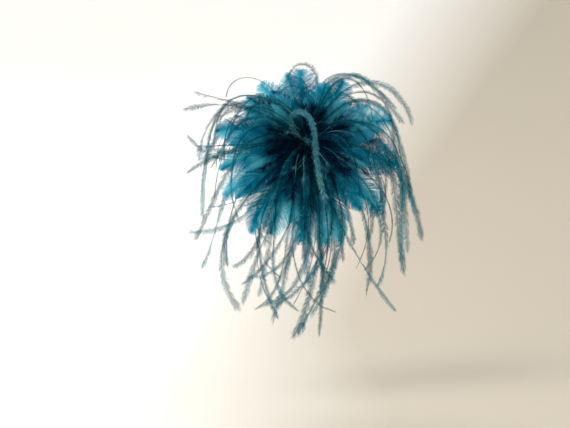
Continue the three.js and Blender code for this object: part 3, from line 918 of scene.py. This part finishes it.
def winding(node, turns, thread=0.34):
    """Thread wound round the stem in two crossing layers, in the place of one CAD binding."""
    low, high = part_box(node)
    sheaf = Sheaf()
    middle = (low[1] + high[1]) / 2
    span = (high[1] - low[1]) / 2 - thread * MM
    outer = (high[0] - low[0]) / 2 - thread * MM
    inner = outer - 0.62 * MM
    for way, radius, share in ((1, inner, 1.0), (-1, outer, 0.82)):
        u = np.linspace(0, 1, turns * 40)
        angle = u * turns * 2 * math.pi * way
        r = radius + 0.06 * MM * np.sin(angle * 0.37)
        y = middle + (2 * u - 1) * span * share
        path = np.stack([r * np.cos(angle), y, r * np.sin(angle)], 1)
        sheaf.tube(path, thread * MM, 6)
    return sheaf.build(f"thread_{node}", THREAD)


# ---------------------------------------------------------------- felt base
def disc(node, material, holes):
    """A round sheet in a node's place, with rounded edges, a slightly uneven rim and cut slits."""
    low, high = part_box(node)
    radius, middle = (high[0] - low[0]) / 2, (high[1] + low[1]) / 2
    bevel = 0.22 * MM
    outline = bpy.data.curves.new(node, "CURVE")
    outline.dimensions = "2D"
    outline.fill_mode = "BOTH"
    outline.extrude = (high[1] - low[1]) / 2 - bevel
    outline.bevel_depth = bevel
    outline.bevel_resolution = 2
    outline.offset = -bevel
    angle = np.arange(180) / 180 * 2 * math.pi
    r = radius - 0.05 * MM * (2 + np.sin(angle * 23) + np.sin(angle * 41 + 1))
    rim = np.stack([r * np.cos(angle), r * np.sin(angle)], 1)
    slits = [((x0, z0), (x0, z1), (x1, z1), (x1, z0)) for x0, x1, z0, z1 in holes]
    for loop in [rim] + slits:
        line = outline.splines.new("POLY")
        line.points.add(len(loop) - 1)
        for point, (x, z) in zip(line.points, loop):
            point.co = (x, z, 0, 1)
        line.use_cyclic_u = True
    holder = linked(node, outline)
    graph = bpy.context.evaluated_depsgraph_get()
    mesh = bpy.data.meshes.new_from_object(holder.evaluated_get(graph))
    bpy.data.objects.remove(holder)
    mesh.name = f"{node}_disc"
    co = np.empty(len(mesh.vertices) * 3, np.float32)
    mesh.vertices.foreach_get("co", co)
    x, z, y = co.reshape(-1, 3).T
    mesh.vertices.foreach_set("co", np.stack([x, middle - y, z], 1).ravel())
    mesh.materials.clear()
    mesh.materials.append(material)
    return linked(f"{node}_disc", mesh)


def felt_fuzz(name, node, hairs=2600):
    """Short loose hairs on the two faces and the rim of a felt disc."""
    low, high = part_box(node)
    rng = seeded(name)
    radius = (high[0] - low[0]) / 2 - 0.3 * MM
    angle = rng.uniform(0, 2 * math.pi, hairs)
    r = radius * np.sqrt(rng.uniform(0.25, 1, hairs))
    rear = rng.uniform(0, 1, hairs) < 0.5
    y = np.where(rear, high[1] - 0.1 * MM, low[1] + 0.1 * MM)
    root = np.stack([r * np.cos(angle), y, r * np.sin(angle)], 1)
    out = unit(root * [1, 0, 1])
    rim = (r > radius * 0.93)[:, None]
    direction = unit(rng.normal(0, 1, (hairs, 3)) * [1, 0.05, 1] + out * 2.2 * rim)
    sheaf = Sheaf()
    size = rng.uniform(0.6, 1.5, hairs) * MM
    wisps(sheaf, rng, root, direction, size, half=0.02, sections=4, wave=0.2, sag=0.0)
    return sheaf.build(name, FELT)


def rim_stitches(count=44, thread=0.24):
    """Whip stitches over the edge, which hold the two felts together with the stiffener inside."""
    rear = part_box("rear_felt")
    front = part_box("front_felt")
    edge = (rear[1][0] - rear[0][0]) / 2
    sheaf = Sheaf()
    inner = edge - 3.2 * MM
    rear_y, front_y = rear[1][1] - 0.16 * MM, front[0][1] - 0.1 * MM
    profile = np.array([
        (inner, rear_y - 0.5 * MM), (inner + 0.4 * MM, rear_y), (edge - 0.4 * MM, rear_y),
        (edge + 0.22 * MM, rear_y - 0.8 * MM), (edge + 0.05 * MM, (rear_y + front_y) / 2),
        (edge - 0.7 * MM, front_y + 0.7 * MM), (edge - 1.4 * MM, front_y),
        (inner + 0.3 * MM, front_y), (inner, front_y + 0.5 * MM),
    ])
    fine = spline(profile, 22)
    for k in range(count):
        angle = (k + np.linspace(0, 0.55, len(fine))) / count * 2 * math.pi
        path = np.stack([fine[:, 0] * np.cos(angle), fine[:, 1], fine[:, 0] * np.sin(angle)], 1)
        sheaf.tube(path, thread * MM, 6)
    return sheaf.build("rim_stitches", THREAD)


def felt_base():
    """The base's three sheets, with slits in the rear felt for the pin's hinge ears and catch."""
    hinge_x, catch_x, pin_z = -13 * MM, 13 * MM, 12 * MM
    slits = [
        (x - half_x * MM, x + half_x * MM, pin_z - half_z * MM, pin_z + half_z * MM)
        for x, half_x, half_z in ((hinge_x, 1.9, 2.2), (catch_x, 1.6, 0.9))
    ]
    stitches = on_flower(rim_stitches(), "thread")
    layers = (
        ("rear_felt", FELT, slits, "felt", ["front_felt"]),
        ("stiffener", BUCKRAM, (), "buckram", ["rear_felt", "pin_bar"]),
        ("front_felt", FELT, (), "felt", ["stiffener"]),
    )
    for node, material, holes, slot, under in layers:
        piece = on_flower(disc(node, material, holes), slot, node)
        along = []
        if slot == "felt":
            along = [on_flower(felt_fuzz(f"{node}_fuzz", node), "felt")]
        if node == "rear_felt":
            along.append(stitches)


def pin_finish():
    """Nickel plate on the pin's metal pieces, which keep their CAD shapes."""
    for node in ("pin_bar", "hinge_rivet", "pin_arm", "catch_lock"):
        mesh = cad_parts[node].data
        mesh.materials.clear()
        mesh.materials.append(NICKEL)


fronds()
fine_fronds()
sprays()
petals()
fill_petals()
broad_petals()
marabou_plumes()
heart_hairs()
on_flower(quill_bundle(), "quill", "quill_stem")
on_flower(winding("front_binding", turns=8), "thread", "front_binding")
on_flower(winding("back_binding", turns=2), "thread", "back_binding")
felt_base()
pin_finish()


# ---------------------------------------------------------------- floor, light and camera
FLOOR = -0.3


def backdrop():
    """A round pale floor that sweeps up into a wall all round, well clear of the object. Its colour
    has painted shade, beige towards the viewer's right and the floor, and it glows faintly as painted
    light.
    """
    flat, bend, top = 0.6, 1.9, 1.7
    sides, steps = 96, 24
    profile = [(0.0, FLOOR), (0.7 * flat, FLOOR), (flat, FLOOR)]
    for k in range(1, steps + 1):
        angle = k / steps * math.pi / 2
        profile.append((flat + bend * math.sin(angle), FLOOR + bend * (1 - math.cos(angle))))
    profile.append((flat + bend, top))
    verts, faces = [], []
    for r, z in profile:
        for k in range(sides):
            angle = 2 * math.pi * k / sides
            verts.append((r * math.cos(angle), r * math.sin(angle), z))
    for i in range(len(profile) - 1):
        for k in range(sides):
            a, b = i * sides + k, i * sides + (k + 1) % sides
            faces.append((a, b, b + sides, a + sides))
    mesh = bpy.data.meshes.new("floor")
    mesh.from_pydata(verts, [], faces)
    mesh.polygons.foreach_set("use_smooth", [True] * len(faces))
    material, tree, shader, _ = new_material("pale_floor_painted_shade")
    where = tree.nodes.new("ShaderNodeTexCoord")
    split = tree.nodes.new("ShaderNodeSeparateXYZ")
    tree.links.new(where.outputs["Object"], split.inputs[0])
    # Painted shade: the floor and wall turn beige towards +X, the viewer's right, and downwards.
    lower = math_node(tree, "MULTIPLY", split.outputs[2], -0.8)
    painted_shade_slope = scaled(tree, math_node(tree, "ADD", split.outputs[0], lower), 0.6, 0.3)
    colour = ramp(tree, painted_shade_slope, [(0.2, rgb(252, 251, 247)), (0.5, rgb(190, 181, 165))])
    tree.links.new(colour, shader.inputs["Base Color"])
    # Painted light: the floor and wall glow faintly in the same colours.
    tree.links.new(colour, shader.inputs["Emission Color"])
    shader.inputs["Emission Strength"].default_value = 0.05
    shader.inputs["Roughness"].default_value = 0.9
    mesh.materials.append(material)
    floor = linked("floor", mesh)


def soft_light(name, place, size, power):
    """A round area light aimed at the flower."""
    light = bpy.data.lights.new(name, "AREA")
    light.shape = "DISK"
    light.size = size
    light.energy = power
    lamp = linked(name, light)
    lamp.location = place
    aim = Vector((0, 0, -0.05)) - Vector(place)
    lamp.rotation_euler = aim.to_track_quat("-Z", "Y").to_euler()


backdrop()
soft_light("key", (-1.1, -1.3, 1.3), size=1.0, power=30)
soft_light("fill", (1.4, -1.2, 0.2), size=1.2, power=6)
soft_light("back", (-0.5, 1.0, 1.2), size=0.9, power=10)

world = bpy.data.worlds.new("pale")
bpy.context.scene.world = world
world.use_nodes = True
sky = world.node_tree.nodes["Background"]
sky.inputs["Color"].default_value = (0.97, 0.98, 1.0, 1)
sky.inputs["Strength"].default_value = 0.75

lens = bpy.data.cameras.new("camera")
lens.lens = 65.9
lens.sensor_width = 36
camera = linked("camera", lens)
camera.location = (-0.026, -1.225, -0.083)
camera.rotation_euler = (math.pi / 2, 0, 0)
bpy.context.scene.camera = camera
bpy.context.scene.view_settings.view_transform = "Standard"
